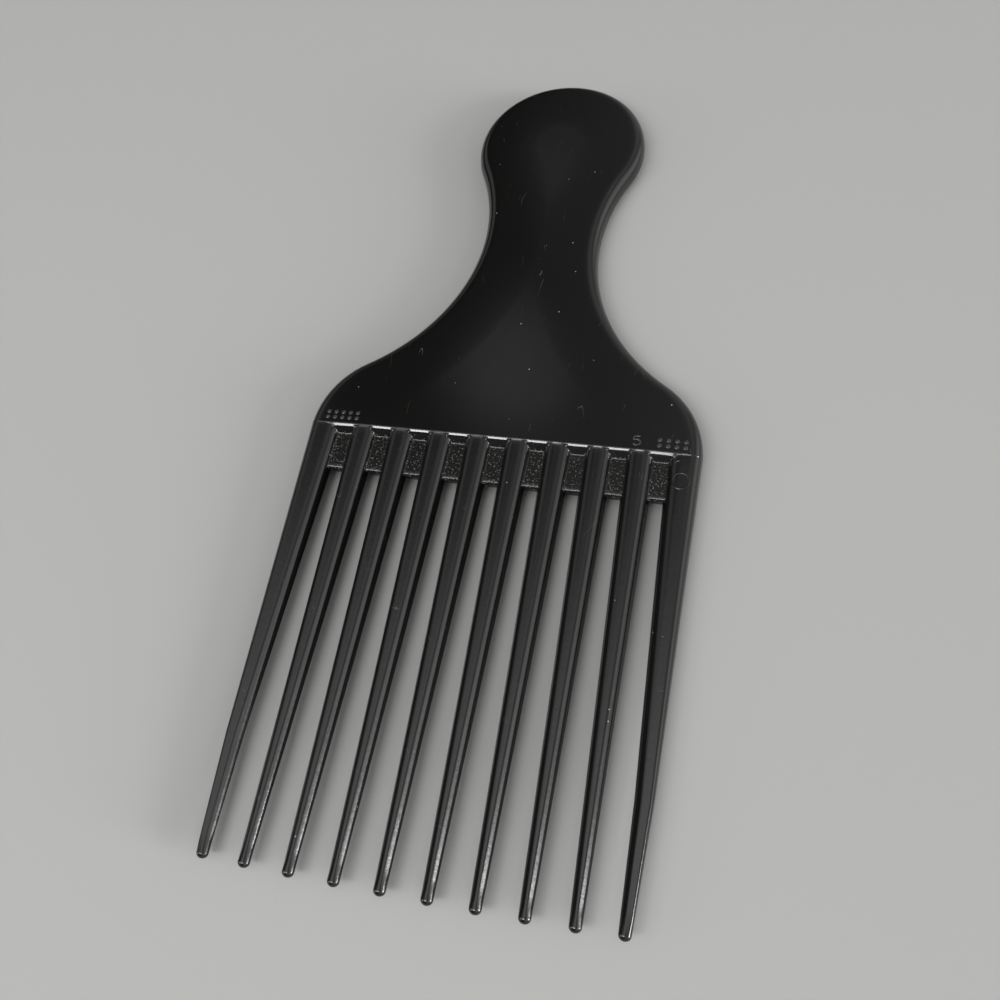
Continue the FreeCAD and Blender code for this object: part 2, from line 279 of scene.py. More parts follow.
@dataclass
class Handle:
    """Knob, waisted neck and flared shoulder, with a rounded edge and a low crown."""

    sizes: PickSizes
    datum: Datum
    edge_power: float = 2.2
    edge_steps: int = 12
    lip_inset: float = 0.035
    lip_height: float = 0.06
    crown_rise: float = 0.235
    crown_reach: float = 12.5
    crown_power: float = 1.3
    innermost: float = 10.4
    ring_steps: int = 10
    columns: int = 96
    rim_start: float = -0.03
    rim_slope: float = 30.0
    rim_blend: float = 0.06
    ramp_slope: float = 61.8
    ramp_blend: float = 0.12
    lap_line: float = 0.0
    lap_slope: float = 0.03
    rim_levels: tuple[float, ...] = (-0.03, 0.02, 0.08, 0.16, 0.3, 0.6, 1.0, 1.4)
    arc_steps: tuple[int, int, int, int] = (10, 26, 14, 34)
    outline: np.ndarray = field(init=False)

    def __post_init__(self) -> None:
        """Sample the outline's sides, which the distance to the edge is measured from."""
        right = np.array(self.side(0.0))
        left = right * (-1, 1)
        self.outline = np.vstack((right, left))

    def bends(self) -> tuple[Bend, Bend, Bend, Bend]:
        """Work out the arcs up the right side, each of which meets the next smoothly.

        Returns:
            Shoulder corner, flare, neck and knob.
        """
        sizes = self.sizes
        low, high = sizes.waist_rise, sizes.knob_rise
        corner_x = sizes.half_width - sizes.shoulder_radius
        flare_x = sizes.neck_width / 2 + sizes.flare_radius
        neck_x = sizes.neck_width / 2 + sizes.neck_radius
        corner_turn = math.atan2(low, flare_x - corner_x)
        knob_turn = math.atan2(high - low, neck_x)
        return (
            Bend((corner_x, 0.0), sizes.shoulder_radius, 1, 0.0, corner_turn),
            Bend((flare_x, low), sizes.flare_radius, -1, math.pi + corner_turn, math.pi),
            Bend((neck_x, low), sizes.neck_radius, -1, math.pi, math.pi - knob_turn),
            Bend((0.0, high), sizes.knob_radius, 1, -knob_turn, math.pi / 2),
        )

    def side(self, inset: float) -> list[Spot]:
        """Points up the right side of the outline, moved inwards by inset.

        Args:
            inset: How far from the outline, in millimetres.

        Returns:
            Points from the shoulder line to the top of the knob. The first ones lie at the heights
            of rim_levels, so that the rounded rim has rows along it.
        """
        corner, flare, neck, knob = self.bends()
        radius = corner.radius - inset
        points = [
            (corner.centre[0] + math.sqrt(radius ** 2 - level ** 2), level) for level in self.rim_levels
        ]
        begin = math.asin(self.rim_levels[-1] / radius)
        points += corner.sweep(self.arc_steps[0], inset, begin)
        for bend, steps in zip((flare, neck, knob), self.arc_steps[1:]):
            points += bend.sweep(steps, inset)
        return points

    def depth_in(self, across: np.ndarray, up: np.ndarray) -> np.ndarray:
        """Distance of points from the outline's sides."""
        gaps = np.hypot(across[:, None] - self.outline[:, 0], up[:, None] - self.outline[:, 1])
        return gaps.min(axis=1)

    def face(self, inset: np.ndarray) -> np.ndarray:
        """Height of the face over mid-thickness, from the distance to the outline.

        Args:
            inset: Distances from the outline.

        Returns:
            Heights: a rounded edge, and a low crown up to the flat middle.
        """
        share = np.clip((inset - self.lip_inset) / (self.sizes.edge_round - self.lip_inset), 0.0, 1.0)
        edge = self.sizes.tooth_depth / 2 * (1 - (1 - share) ** self.edge_power) ** (1 / self.edge_power)
        crown = self.crown_rise * (1 - (1 - np.clip(inset / self.crown_reach, 0.0, 1.0)) ** self.crown_power)
        return edge + crown

    def crown(self, number: int) -> float:
        """Find how far the face stands over the flat of one tooth, at its root.

        Args:
            number: The tooth, counted from the left.

        Returns:
            The height.
        """
        sizes = self.sizes
        across = abs(number - (sizes.tooth_count + 1) / 2) * sizes.root_pitch
        across = min(across, sizes.half_width - sizes.outer_root_width / 2)
        inset = self.depth_in(np.array([across]), np.zeros(1))
        return float(self.face(inset)[0]) - sizes.tooth_depth / 2

    def rim(self, face: np.ndarray, up: np.ndarray) -> np.ndarray:
        """Drop the face into the recess along the shoulder line.

        Args:
            face: Heights of the face.
            up: Distances above the shoulder line.

        Returns:
            The heights with the facet along the rim and the ramp below it.
        """
        foot = self.sizes.web_depth / 2
        facet = face + (up - self.rim_start) * math.tan(math.radians(self.rim_slope))
        ramp = foot + (up + self.sizes.ramp_foot) * math.tan(math.radians(self.ramp_slope))
        return smooth_min(smooth_min(face, facet, self.rim_blend), ramp, self.ramp_blend)

    def surface(self, across: np.ndarray, up: np.ndarray) -> np.ndarray:
        """Height of face and rim at points near the shoulder line."""
        return self.rim(self.face(self.depth_in(across, up)), up)

    def rings(self) -> list[Spot]:
        """Lay out the rings round the edge and towards the middle.

        Returns:
            The inset and the least height of each.
        """
        sizes = self.sizes
        rings = [(0.0, 0.0), (self.lip_inset, self.lip_height)]
        for step in range(1, self.edge_steps + 1):
            angle = math.pi / 2 * step / self.edge_steps
            share = 1 - math.cos(angle) ** (2 / self.edge_power)
            rings.append((self.lip_inset + (sizes.edge_round - self.lip_inset) * share, self.lip_height))
        for step in range(1, self.ring_steps + 1):
            inset = sizes.edge_round + (self.innermost - sizes.edge_round) * step / self.ring_steps
            rings.append((inset, self.lip_height))
        return rings

    def lapped(self, heights: np.ndarray, up: np.ndarray) -> np.ndarray:
        """Let the rim dive a hair under the webs below the line where they take over."""
        return heights - self.lap_slope * np.maximum(self.lap_line - up, 0.0)

    def half(self, skin: Skin, side: Side, shared: Row | None) -> tuple[Row, Row]:
        """Add one face of the handle to a mesh.

        Args:
            skin: The mesh.
            side: Front or back.
            shared: The other face's row on the parting line, if it is made already.

        Returns:
            The row on the parting line and the row along the shoulder's end.
        """
        chains = []
        for inset, least in self.rings():
            right = self.side(inset)
            spots = np.array(right + [(-x, y) for x, y in reversed(right[:-1])])
            if not chains:
                flat = [(x, y, 0.0) for x, y in spots]
                chains.append(shared or skin.row(flat))
                continue
            heights = np.maximum(self.face(np.full(len(spots), inset)), least)
            heights = self.lapped(self.rim(heights, spots[:, 1]), spots[:, 1])
            chains.append(skin.row(zip(spots[:, 0], spots[:, 1], heights * side.value)))
        for outer, inner in zip(chains, chains[1:]):
            skin.bridge(outer, inner)
        last = chains[-1]
        right = np.array(self.side(self.innermost))
        shares = np.linspace(-1.0, 1.0, self.columns + 1)[1:-1]
        rows = []
        for index, (reach, up) in enumerate(right[:-1]):
            across, level = shares * reach, np.full(len(shares), up)
            heights = self.face(self.depth_in(across, level))
            heights = self.lapped(self.rim(heights, level), level)
            middle = skin.row(zip(across, level, heights * side.value))
            rows.append([last[-1 - index]] + middle + [last[index]])
        rows.append([last[len(right) - 1]] * len(rows[0]))
        for lower, upper in zip(rows, rows[1:]):
            skin.bridge(lower, upper)
        left_end = [chain[-1] for chain in chains[:-1]]
        right_end = [chain[0] for chain in reversed(chains[:-1])]
        return chains[0], left_end + rows[0] + right_end

    def build(self, material: bpy.types.Material) -> bpy.types.Object:
        """Make the handle's piece.

        Args:
            material: Its finish.

        Returns:
            The piece, riding on the pick in place of its node.
        """
        skin = Skin(self.datum)
        parting, front_end = self.half(skin, Side.FRONT, None)
        _, back_end = self.half(skin, Side.BACK, parting)
        skin.bridge(front_end, back_end)
        piece = skin.finish("handle_shell", material)
        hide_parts("handle")
        return mount(piece)


def mount(piece: bpy.types.Object) -> bpy.types.Object:
    """Let a piece ride on the pick, and report it.

    Args:
        piece: The piece.

    Returns:
        The same piece.
    """
    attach(piece, BODY)
    log.info("%s: %d faces", piece.name, len(piece.data.polygons))
    return piece


@dataclass
class Tooth:
    """One tapered tooth, from under the shoulder's rim to its blunt nose."""

    sizes: PickSizes
    datum: Datum
    number: int
    rise: float
    # Each pair holds a share at the root and at the tip.
    flat_share: Spot = (0.48, 0.15)
    flank_share: Spot = (0.79, 0.72)
    flank_rise: Spot = (0.66, 0.37)
    flat_cut: Spot = (0.3, 0.13)
    flank_cut: Spot = (0.12, 0.12)
    flank_foot: float = 0.02
    flat_row: float = 0.25
    tip_round: float = 0.4
    corner_steps: int = 6
    ridge: float = 0.012
    ridge_rise: float = 0.03
    round_power: float = 2.25
    row_gap: float = 1.6
    nose_steps: int = 9
    nose_open: float = 0.5
    nose_blend: float = 2.4
    soft_start: float = 45.0
    soft_share: float = 0.2
    full_rise: float = 0.235
    least_squeeze: float = 0.35
    last_rise: float = 0.16
    dip_focus: float = 4.0
    crisp_right: float = 0.32
    slope_span: int = 8
    slope_reach: float = 4.0
    # Distances below the shoulder line, and shares of the dip and of the rise.
    dip_profile: tuple[Spot, ...] = ((0.02, 0.0), (0.25, 1.0), (1.2, 0.0))
    rise_profile: tuple[Spot, ...] = (
        (-0.35, 0.5), (-0.01, 0.92), (0.02, 0.93), (0.06, 0.88), (0.12, 0.77), (0.18, 0.64), (0.24, 0.51),
        (0.3, 0.38), (0.36, 0.28), (0.43, 0.2), (0.52, 0.15), (0.75, 0.1), (1.1, 0.05), (1.7, 0.0),
    )
    layers: dict[Hand, np.ndarray] = field(init=False)

    def __post_init__(self) -> None:
        """Work out the quarter sections at the stations, which the others are blended from."""
        stations = self.stations()
        self.layers = {hand: np.array([self.section(s, hand) for s in stations]) for hand in Hand}

    @property
    def outer(self) -> bool:
        """Whether the tooth is at an end of the row."""
        return self.number in (1, self.sizes.tooth_count)

    @property
    def place(self) -> float:
        """Places from the middle of the row, negative to the left."""
        return self.number - (self.sizes.tooth_count + 1) / 2

    @property
    def hand(self) -> Hand:
        """The half of the row that the tooth is in."""
        return Hand.RIGHT if self.place > 0 else Hand.LEFT

    @property
    def length(self) -> float:
        """Length below the shoulder line, a little shorter towards the ends of the row."""
        share = (abs(self.place) - 0.5) / (self.sizes.tooth_count / 2 - 1)
        return self.sizes.tooth_length - self.sizes.tip_arc_drop * share ** 2

    @property
    def base(self) -> float:
        """Distance below the shoulder line at which the nose begins."""
        return self.length - self.sizes.nose_length

    @property
    def rises(self) -> list[Spot]:
        """The rise profile, drawn together where the handle stands only a little over the tooth.

        The line is crisper towards the right. The last tooth dips a little below it, so that it
        stays crisp there too.

        Returns:
            Distances below the shoulder line, with the share of the rise at each.
        """
        least = self.last_rise if self.number == self.sizes.tooth_count else 0.0
        rise = max(self.rise, least)
        squeeze = min(1.0, max(rise / self.full_rise, self.least_squeeze))
        squeeze *= 1 - self.crisp_right * self.place / self.sizes.tooth_count
        places, dips = zip(*self.dip_profile)
        profile = []
        for place, share in self.rise_profile:
            place = place * squeeze if place > 0 else place
            dip = float(np.interp(place, places, dips)) * (rise - self.rise) / self.rise
            profile.append((place, share - dip))
        return profile

    def stations(self) -> list[Station]:
        """List where the tooth's shape is set.

        Returns:
            The root, the knee of an outer tooth, and the base of the nose.
        """
        sizes = self.sizes
        if not self.outer:
            root = (0.0, self.place * sizes.root_pitch, sizes.root_width, sizes.tooth_depth, 0.0)
            return [root, (self.base, self.place * sizes.tip_pitch, sizes.tip_width, sizes.tip_depth, 1.0)]
        sign = self.hand.value
        inner = (sizes.tooth_count - 3) / 2
        lean = (sizes.tip_pitch - sizes.root_pitch) * sizes.outer_knee_height / sizes.tooth_length
        knee_centre = inner * (sizes.tip_pitch - lean) + sizes.outer_knee_pitch
        tip_centre = inner * sizes.tip_pitch + sizes.outer_tip_pitch
        root_centre = sizes.half_width - sizes.outer_root_width / 2
        left = sizes.outer_knee_height / self.length
        knee_depth = sizes.tip_depth + (sizes.tooth_depth - sizes.tip_depth) * left
        knee = self.length - sizes.outer_knee_height
        return [
            (0.0, sign * root_centre, sizes.outer_root_width, sizes.tooth_depth, 0.0),
            (knee, sign * knee_centre, sizes.outer_knee_width, knee_depth, 1 - left),
            (self.base, sign * tip_centre, sizes.tip_width, sizes.tip_depth, 1.0),
        ]

    def at(self, down: float) -> tuple[float, float, float]:
        """Measure the tooth at one place.

        Args:
            down: Distance below the shoulder line.

        Returns:
            Centre, width and depth there.
        """
        table = np.array(self.stations())
        centre, width, depth = (float(np.interp(down, table[:, 0], table[:, i])) for i in (1, 2, 3))
        return centre, width, depth

    def faceted(self, along: float) -> list[Spot]:
        """A quarter section as shares of half the width and depth, from the flat to the parting line.

        Args:
            along: Share of the tooth's length, from 0 at the root to 1 at the tip.

        Returns:
            The points, with every corner replaced by a short curve.
        """
        ranges = (self.flat_share, self.flank_share, self.flank_rise, self.flat_cut, self.flank_cut)
        flat, flank, rise, *cuts = (root + (tip - root) * along for root, tip in ranges)
        lip = 1 - self.ridge
        corners = [(0.0, 1.0), (flat, 1.0), (flank, rise), (lip, self.flank_foot)]
        points = [corners[0], (flat * self.flat_row, 1.0)]
        for before, corner, after, cut in zip(corners, corners[1:], corners[2:], cuts):
            points += round_corner(before, corner, after, cut, self.corner_steps)
            points.append(((corner[0] + after[0]) / 2, (corner[1] + after[1]) / 2))
        return points + [(lip, self.ridge_rise), (1.0, 0.0)]

    def rounded(self, along: float, count: int) -> list[Spot]:
        """A quarter section whose side is rounded like the handle's edge.

        Args:
            along: Share of the tooth's length.
            count: How many points.

        Returns:
            The points, as shares of half the width and depth.
        """
        root_round = self.sizes.edge_round / (self.sizes.outer_root_width / 2)
        reach = root_round + (self.tip_round - root_round) * along
        lip = 1 - self.ridge
        points = [(0.0, 1.0)]
        for step in range(count - 2):
            angle = math.pi / 2 * (1 - step / (count - 2))
            across = lip - reach * (1 - math.cos(angle) ** (2 / self.round_power))
            points.append((across, max(math.sin(angle) ** (2 / self.round_power), self.ridge_rise)))
        return points + [(1.0, 0.0)]

    def section(self, station: Station, hand: Hand) -> np.ndarray:
        """Give a station's quarter section on one hand.

        Args:
            station: The station.
            hand: Which edge of the tooth.

        Returns:
            The points, in millimetres from the tooth's own middle.
        """
        _, _, width, depth, along = station
        points = self.faceted(along)
        if self.outer and hand is self.hand:
            points = self.rounded(along, len(points))
        return np.array(points) * (width / 2, depth / 2)

    def quarter(self, down: float, hand: Hand) -> np.ndarray:
        """Blend a quarter section, which turns into an ellipse towards the nose.

        Args:
            down: Distance below the shoulder line.
            hand: Which edge of the tooth.

        Returns:
            The points, in millimetres from the tooth's own middle.
        """
        places = [station[0] for station in self.stations()]
        index = int(np.clip(np.searchsorted(places, down), 1, len(places) - 1))
        before, after = places[index - 1], places[index]
        share = float(np.clip((down - before) / (after - before), 0.0, 1.0))
        plain = self.layers[hand][index - 1] * (1 - share) + self.layers[hand][index] * share
        _, width, depth = self.at(down)
        half = np.array((width / 2, depth / 2))
        unit = plain / half
        ellipse = unit / np.hypot(unit[:, 0], unit[:, 1])[:, None] * half
        nose = smooth_step(np.array((down - self.base + self.nose_blend) / self.nose_blend))
        soft = smooth_step(np.array((down - self.soft_start) / (self.base - self.soft_start)))
        return plain + (ellipse - plain) * max(float(nose), float(soft) * self.soft_share)

    def height(self, across: np.ndarray, down: float) -> np.ndarray:
        """Height of the tooth's face at points across the pick.

        Args:
            across: Places along x, in millimetres from the middle of the pick.
            down: Distance below the shoulder line.

        Returns:
            Heights over mid-thickness, below zero beside the tooth.
        """
        centre = self.at(down)[0]
        offset = np.asarray(across, float) - centre
        heights = np.empty_like(offset)
        for hand in Hand:
            points = self.quarter(down, hand)[:-1]
            beyond = points[-1] + (points[-1] - points[-self.slope_span]) * self.slope_reach
            points = np.vstack((points, beyond))
            chosen = offset * hand.value >= 0
            heights[chosen] = np.interp(offset[chosen] * hand.value, points[:, 0], points[:, 1])
        return heights

    def reach(self, height: float, down: float, hand: Hand) -> float:
        """Find where the tooth's face comes down to a height.

        Args:
            height: The height over mid-thickness.
            down: Distance below the shoulder line.
            hand: Which edge of the tooth.

        Returns:
            The place along x.
        """
        points = self.quarter(down, hand)[2:-1]
        offset = float(np.interp(-height, -points[:, 1], points[:, 0]))
        return self.at(down)[0] + hand.value * offset

    def lifted(self, height: float, share: float, depth: float) -> float:
        """Raise a point of a section.

        Args:
            height: Its height over mid-thickness.
            share: How far the section rises, as a share of half its depth.
            depth: The section's depth.

        Returns:
            The new height. A section that dips instead does so mostly at its flat.
        """
        if share < 0:
            share *= (2 * height / depth) ** self.dip_focus
        return height * (1 + share)

    def ring(self, skin: Skin, down: float, scale: float, drop: float) -> Row:
        """Add one closed section to a mesh.

        Args:
            skin: The mesh.
            down: Where the section's shape and centre are taken.
            scale: Share of its size.
            drop: Distance below the shoulder line at which it lies.

        Returns:
            The section's vertices, in order round it.
        """
        centre, _, depth = self.at(down)
        places, shares = zip(*self.rises)
        share = self.rise * float(np.interp(drop, places, shares)) / (depth / 2)
        right, left = (
            [
                (hand.value * x * scale, self.lifted(z, share, depth) * scale)
                for x, z in self.quarter(down, hand)
            ]
            for hand in (Hand.RIGHT, Hand.LEFT)
        )
        loop = right + [(x, -z) for x, z in reversed(right[:-1])]
        loop += [(x, -z) for x, z in left[1:]] + list(reversed(left[1:-1]))
        return skin.row((centre + x, -drop, z) for x, z in loop)

    def build(self, material: bpy.types.Material) -> bpy.types.Object:
        """Make the tooth's piece.

        Args:
            material: Its finish.

        Returns:
            The piece, riding on the pick in place of its node.
        """
        skin = Skin(self.datum)
        base = self.base
        near = [place for place, _ in self.rises]
        count = math.ceil((base - near[-1]) / self.row_gap)
        downs = [*near[:-1], *np.linspace(near[-1], base, count + 1)]
        rings = [self.ring(skin, max(float(down), 0.0), 1.0, float(down)) for down in downs]
        for step in range(1, self.nose_steps + 1):
            angle = math.pi / 2 * step / (self.nose_steps + self.nose_open)
            drop = base + self.sizes.nose_length * math.sin(angle)
            rings.append(self.ring(skin, base, math.cos(angle), drop))
        for above, below in zip(rings, rings[1:]):
            skin.bridge(above, below, closed=True)
        skin.cap(rings[0])
        skin.cap(rings[-1])
        name = "tooth_%02d" % self.number
        piece = skin.finish(name + "_shell", material)
        flatten = piece.modifiers.new("level_flats", "WEIGHTED_NORMAL")
        flatten.keep_sharp = True
        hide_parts(name)
        return mount(piece)


def round_corner(before: Spot, corner: Spot, after: Spot, cut: float, steps: int) -> list[Spot]:
    """Replace a corner with points on a curve that leaves its two sides smoothly.

    Args:
        before: The point before the corner.
        corner: The corner.
        after: The point after it.
        cut: Distance along each side at which the curve begins and ends.
        steps: How many points, less one.

    Returns:
        The curve's points, in order.
    """
    tip = Vector(corner)
    start = tip + (Vector(before) - tip).normalized() * cut
    end = tip + (Vector(after) - tip).normalized() * cut
    points = []
    for step in range(steps + 1):
        share = step / steps
        spot = start * (1 - share) ** 2 + tip * 2 * share * (1 - share) + end * share ** 2
        points.append((spot.x, spot.y))
    return points


@dataclass
class Web:
    """The thin recessed web between two teeth, with the ramp up to the shoulder's rim."""

    handle: Handle
    left: Tooth
    right: Tooth
    foot_blend: float = 0.45
    valley_blend: float = 0.42
    trench_edge: float = 1.82
    trench_fade: float = 0.5
    trench_depth: float = 0.11
    trench_line: float = 0.2
    trench_slope: float = 2.0
    trench_most: float = 0.5
    columns: int = 30
    crowding: float = 0.75
    rim_top: float = 0.3
    rim_end: float = -0.75
    fine_gap: float = 0.045
    ramp_gap: float = 0.09
    floor_gap: float = 0.6
    foot_end: float = 1.8
    edge_steps: int = 7

    def bed(self, across: np.ndarray, up: float) -> np.ndarray:
        """Work out rim, ramp and floor, without the teeth. The rim is sunk where a tooth covers it.

        Args:
            across: Places along x.
            up: Distance above the shoulder line, negative below it.

        Returns:
            Their heights over mid-thickness.
        """
        level = np.full(len(across), up)
        centres = np.array([tooth.at(max(-up, 0.0))[0] for tooth in (self.left, self.right)])
        gap = np.abs(across[:, None] - centres).min(axis=1)
        depth = self.trench_depth + self.trench_slope * max(-up - self.trench_line, 0.0)
        trench = smooth_step((self.trench_edge - gap) / self.trench_fade) * min(depth, self.trench_most)
        ramp = self.handle.surface(across, level) - trench
        floor = self.handle.sizes.web_depth / 2
        return smooth_max(ramp, np.full(len(across), floor), self.foot_blend)

    def row(self, up: float, lowered: float, side: Side) -> list[Point]:
        """Points across the web at one distance from the shoulder line.

        Args:
            up: Distance above the shoulder line, negative below it.
            lowered: How far the rounded end takes the floor down.
            side: Front or back.

        Returns:
            Points from the left tooth's face to the right tooth's, which it meets smoothly.
        """
        down = max(-up, 0.0)
        middle = (self.left.at(down)[0] + self.right.at(down)[0]) / 2
        level = float(self.bed(np.array([middle]), up)[0]) - lowered + self.valley_blend
        start = self.left.reach(level, down, Hand.RIGHT)
        end = self.right.reach(level, down, Hand.LEFT)
        shares = np.linspace(0.0, 1.0, self.columns + 1)
        eased = shares - np.sin(2 * math.pi * shares) / (2 * math.pi) * self.crowding
        across = start + (end - start) * eased
        heights = self.bed(across, up) - lowered
        for tooth in (self.left, self.right):
            heights = smooth_max(heights, tooth.height(across, down), self.valley_blend)
        heights -= self.handle.lap_slope * max(up - self.handle.lap_line, 0.0)
        return [(x, up, z * side.value) for x, z in zip(across, heights)]

    def levels(self) -> list[Spot]:
        """Lay out the rows from the rim down to the free end.

        Returns:
            The place of each row, with how far the rounded end lowers it.
        """
        sizes = self.handle.sizes
        rim = np.arange(self.rim_top, self.rim_end, -self.fine_gap)
        fine = [*rim, *np.arange(self.rim_end, -self.foot_end, -self.ramp_gap)]
        bend_start = -sizes.web_length + sizes.web_edge
        count = math.ceil((-self.foot_end - bend_start) / self.floor_gap)
        plain = np.linspace(-self.foot_end, bend_start, count + 1)
        rows = [(float(up), 0.0) for up in (*fine, *plain)]
        for step in range(1, self.edge_steps + 1):
            angle = math.pi / 2 * step / self.edge_steps
            up = bend_start - sizes.web_edge * math.sin(angle)
            rows.append((up, sizes.web_edge * (1 - math.cos(angle))))
        return rows

    def build(self, material: bpy.types.Material) -> bpy.types.Object:
        """Make the web's piece.

        Args:
            material: Its finish.

        Returns:
            The piece, riding on the pick in place of its node.
        """
        skin = Skin(self.handle.datum)
        grids = {}
        for side in Side:
            grids[side] = [skin.row(self.row(up, lowered, side)) for up, lowered in self.levels()]
            for above, below in zip(grids[side], grids[side][1:]):
                skin.bridge(above, below)
        front, back = grids[Side.FRONT], grids[Side.BACK]
        skin.bridge(front[0], back[0])
        skin.bridge(front[-1], back[-1])
        for end in (0, -1):
            skin.bridge([row[end] for row in front], [row[end] for row in back])
        name = "web_%02d" % self.left.number
        piece = skin.finish(name + "_shell", material)
        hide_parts(name)
        return mount(piece)


@dataclass
class MouldMarks:
    """Small marks that the mould leaves: an ejector ring, a cavity digit and rows of pips."""

    handle: Handle
    tooth: Tooth
    ring_centre: Spot = (33.6, -5.25)
    ring_radius: float = 1.5
    ring_width: float = 0.36
    ring_height: float = 0.045
    arc_centre: Spot = (32.9, -2.2)
    arc_radius: float = 0.75
    arc_width: float = 0.32
    arc_height: float = 0.09
    arc_turn: Spot = (70.0, 165.0)
    digit_corner: Spot = (24.5, 0.85)
    digit_size: Spot = (1.3, 1.8)
    digit_bar: tuple[Spot, ...] = ((0.95, 1.0), (0.5, 1.0), (0.12, 1.0), (0.08, 0.8), (0.05, 0.58))
    digit_bowl: float = 0.32
    digit_turn: Spot = (125.0, -145.0)
    stroke_width: float = 0.31
    stroke_height: float = 0.06
    pip_radius: float = 0.42
    pip_height: float = 0.095
    pip_turn: Spot = (0.0, 330.0)
    pip_angles: tuple[float, ...] = (-20.0, 0.0, 30.0, 60.0, 80.0)
    pip_rows: Spot = (1.15, 2.3)
    # Place of the first pip, pitch, and how many.
    pip_runs: tuple[tuple[float, float, int], ...] = ((-33.4, 1.45, 5), (29.2, 1.53, 4))
    bead_shares: tuple[float, ...] = (-1.0, -0.8, -0.45, 0.0, 0.45, 0.8, 1.0)
    sink: float = 0.012
    keel_sinks: int = 3
    arc_step: float = 9.0

    def ground(self, spot: Spot) -> float:
        """Find the surface that a mark stands on, which is the tooth's below the shoulder line.

        Args:
            spot: A place on the front.

        Returns:
            The surface's height over mid-thickness.
        """
        across, up = np.array([spot[0]]), np.array([spot[1]])
        if spot[1] > 0:
            return float(self.handle.surface(across, up)[0])
        return float(self.tooth.height(across, -spot[1])[0])

    def bead(self, skin: Skin, path: Sequence[Spot], width: float, height: float, closed: bool) -> None:
        """Add a low rounded ridge along a path on the surface.

        Args:
            skin: The mesh.
            path: Points along it, in millimetres.
            width: Width of the ridge.
            height: Its height over the surface.
            closed: Whether the path is a loop.
        """
        count = len(path)
        rows = []
        for index, spot in enumerate(path):
            before = path[index - 1] if closed or index else spot
            after = path[(index + 1) % count] if closed or index + 1 < count else spot
            along = (Vector(after) - Vector(before)).normalized()
            across = Vector((-along.y, along.x))
            points = []
            for share in self.bead_shares:
                place = Vector(spot) + across * share * width / 2
                rise = (1 - share * share) * (height + self.sink) - self.sink
                points.append((place.x, place.y, self.ground((place.x, place.y)) + rise))
            low = self.ground(spot) - self.keel_sinks * self.sink
            points.append((spot[0], spot[1], low))
            rows.append(skin.row(points))
        pairs = zip(rows, rows[1:] + rows[:1]) if closed else zip(rows, rows[1:])
        for first, second in pairs:
            skin.bridge(first, second, closed=True)
        if not closed:
            skin.cap(rows[0])
            skin.cap(rows[-1])

    def circle(
        self, centre: Spot, radius: float, start: float, end: float, squash: float = 1.0
    ) -> list[Spot]:
        """Points on a circle between two angles in degrees, both included.

        Args:
            centre: Its centre.
            radius: Its radius.
            start: First angle.
            end: Last angle.
            squash: Height as a share of the width.

        Returns:
            The points, in order.
        """
        steps = max(2, round(abs(end - start) / self.arc_step))
        angles = (math.radians(start + (end - start) * step / steps) for step in range(steps + 1))
        across, up = centre
        return [(across + radius * math.cos(a), up + radius * squash * math.sin(a)) for a in angles]

    def ejector(self, material: bpy.types.Material) -> bpy.types.Object:
        """Make the ring and the short arc that ejector pins left on the last tooth.

        Args:
            material: Their finish.

        Returns:
            The piece.
        """
        skin = Skin(self.handle.datum)
        loop = self.circle(self.ring_centre, self.ring_radius, 0.0, 360.0)[:-1]
        self.bead(skin, loop, self.ring_width, self.ring_height, True)
        arc = self.circle(self.arc_centre, self.arc_radius, *self.arc_turn)
        self.bead(skin, arc, self.arc_width, self.arc_height, False)
        return mount(skin.finish("ejector_ring", material))

    def digit(self, material: bpy.types.Material) -> bpy.types.Object:
        """Make the plain cavity digit, a five, as one raised stroke.

        Args:
            material: Its finish.

        Returns:
            The piece.
        """
        skin = Skin(self.handle.datum)
        left, low = self.digit_corner
        wide, tall = self.digit_size
        path = [(left + wide * x, low + tall * y) for x, y in self.digit_bar]
        squash = 2 * self.digit_bowl * tall / wide
        centre = (left + wide / 2, low + self.digit_bowl * tall)
        path += self.circle(centre, wide / 2, *self.digit_turn, squash)
        self.bead(skin, path, self.stroke_width, self.stroke_height, False)
        return mount(skin.finish("cavity_digit", material))

    def pips(self, material: bpy.types.Material) -> bpy.types.Object:
        """Make the two short double rows of raised pips beside the shoulder's ends.

        Args:
            material: Their finish.

        Returns:
            The piece.
        """
        skin = Skin(self.handle.datum)
        for start, pitch, count in self.pip_runs:
            for row in self.pip_rows:
                for index in range(count):
                    self.pip(skin, (start + index * pitch, row))
        return mount(skin.finish("mould_pips", material))

    def pip(self, skin: Skin, centre: Spot) -> None:
        """Add one low dome to a mesh.

        Args:
            skin: The mesh.
            centre: Middle of the dome.
        """
        ground = self.ground(centre)
        rings = []
        for angle in self.pip_angles:
            radius = self.pip_radius * math.cos(math.radians(angle))
            rise = (self.pip_height + self.sink) * math.sin(math.radians(angle)) - self.sink
            spots = self.circle(centre, radius, *self.pip_turn)
            rings.append(skin.row((x, y, ground + rise) for x, y in spots))
        for first, second in zip(rings, rings[1:]):
            skin.bridge(first, second, closed=True)
        skin.cap(rings[0])
        skin.cap(rings[-1])


